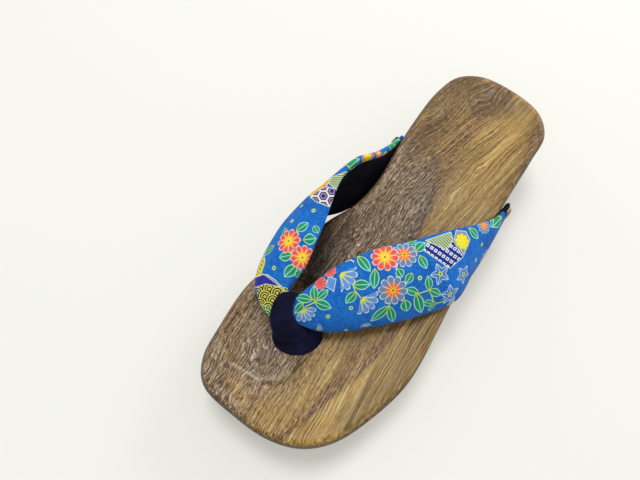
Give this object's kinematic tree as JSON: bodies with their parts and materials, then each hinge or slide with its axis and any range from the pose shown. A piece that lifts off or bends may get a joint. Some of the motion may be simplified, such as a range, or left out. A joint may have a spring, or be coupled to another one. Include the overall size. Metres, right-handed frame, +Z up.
{
  "type": "geta_sandal",
  "caption": "Left geta sandal with a scorched paulownia sole, padded printed cotton straps and a navy velvet toe thong.",
  "frame": {"origin": "on the floor under the middle of the sandal's box", "axes": "toe along -Y, outer (little toe) side along +X, up along +Z"},
  "size_m": [0.1001, 0.244, 0.059],
  "materials": {
    "scorched_wood": "brushed, scorched and waxed paulownia",
    "printed_cotton": "padded cotton with a traditional flower print",
    "velvet": "navy cotton velvet",
    "tack_steel": "dark domed upholstery tack"
  },
  "bodies": {
    "root": {"sole": "scorched_wood", "straps": "printed_cotton", "thong": "velvet", "tack_inner": "tack_steel", "tack_outer": "tack_steel"}
  },
  "joints": []
}
